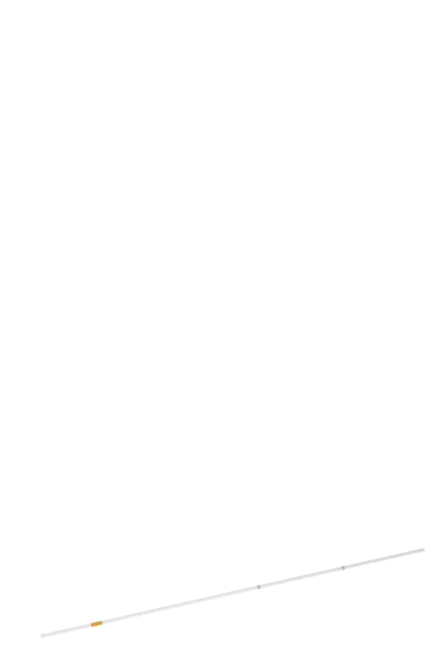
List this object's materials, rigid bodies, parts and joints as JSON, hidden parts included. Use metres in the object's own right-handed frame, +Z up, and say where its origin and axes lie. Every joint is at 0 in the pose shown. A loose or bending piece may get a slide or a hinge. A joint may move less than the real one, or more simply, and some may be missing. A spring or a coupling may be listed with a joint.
{
  "type": "glass capillary tube",
  "caption": "Straight borosilicate capillary tube with a through bore, flame-rounded ends, an enamel colour code band near the held end and ring marks at fixed volumes.",
  "frame": {"origin": "the point of the plane that the tube lies on, below the middle of its length", "axes": "+X along the tube's axis, from the held end with the colour code band towards the tip; +Z up"},
  "size_m": [0.125, 0.001, 0.001],
  "materials": {
    "clear_glass": "clear drawn borosilicate glass, flame-polished at both ends",
    "amber_enamel": "amber ceramic enamel fired onto the glass as the colour code band",
    "dark_enamel": "dark grey ceramic enamel fired onto the glass as the ring marks"
  },
  "bodies": {
    "root": {"capillary_tube": "clear_glass"}
  },
  "joints": []
}
